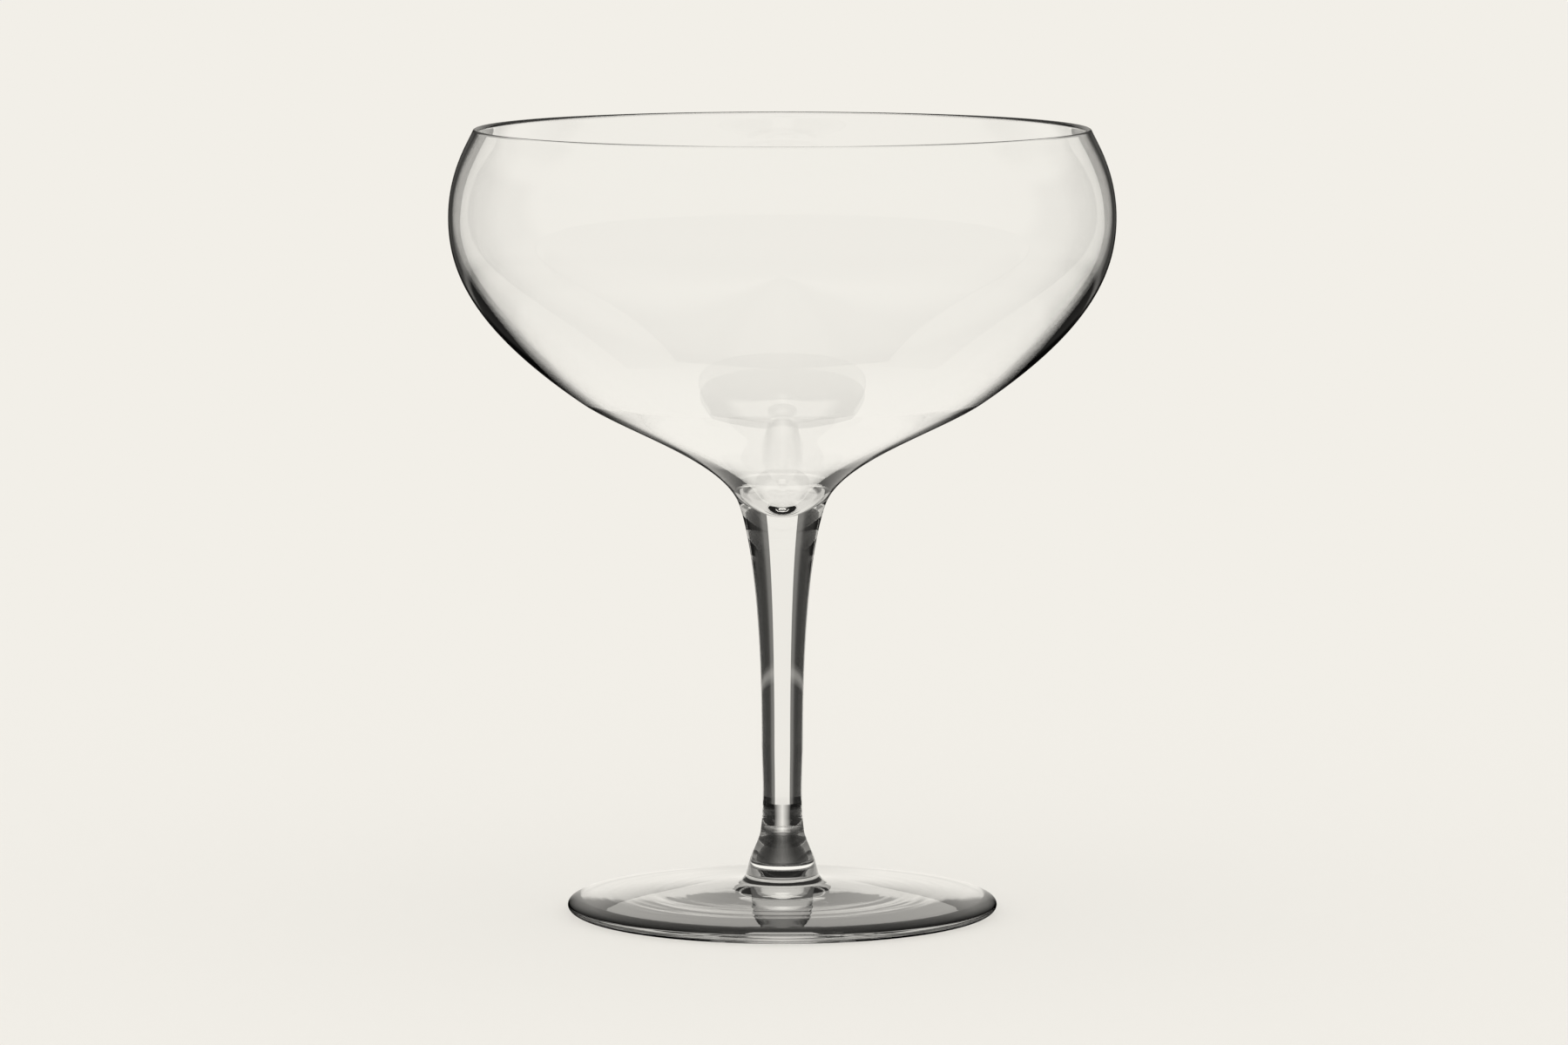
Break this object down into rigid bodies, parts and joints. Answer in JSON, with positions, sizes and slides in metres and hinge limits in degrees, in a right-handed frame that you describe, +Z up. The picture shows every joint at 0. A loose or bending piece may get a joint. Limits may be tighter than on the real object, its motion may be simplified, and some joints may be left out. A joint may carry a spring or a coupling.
{
  "type": "coupe glass",
  "caption": "Coupe glass in clear crystal: a wide rounded bowl with an inturned rim and a pointed hollow bottom, on a slim drawn stem and a flat round foot.",
  "frame": {"origin": "centre of the foot, in the plane of the ring that it rests on", "axes": "+Z up along the axis of the glass, through the stem to the open rim; X and Y are any two directions square to it, because every piece is turned"},
  "size_m": [0.11, 0.11, 0.1303],
  "materials": {
    "bowl_glass": "clear, fire polished",
    "stem_glass": "clear, fire polished",
    "foot_glass": "clear, fire polished"
  },
  "bodies": {
    "root": {"bowl": "bowl_glass", "stem": "stem_glass", "foot": "foot_glass"}
  },
  "joints": []
}
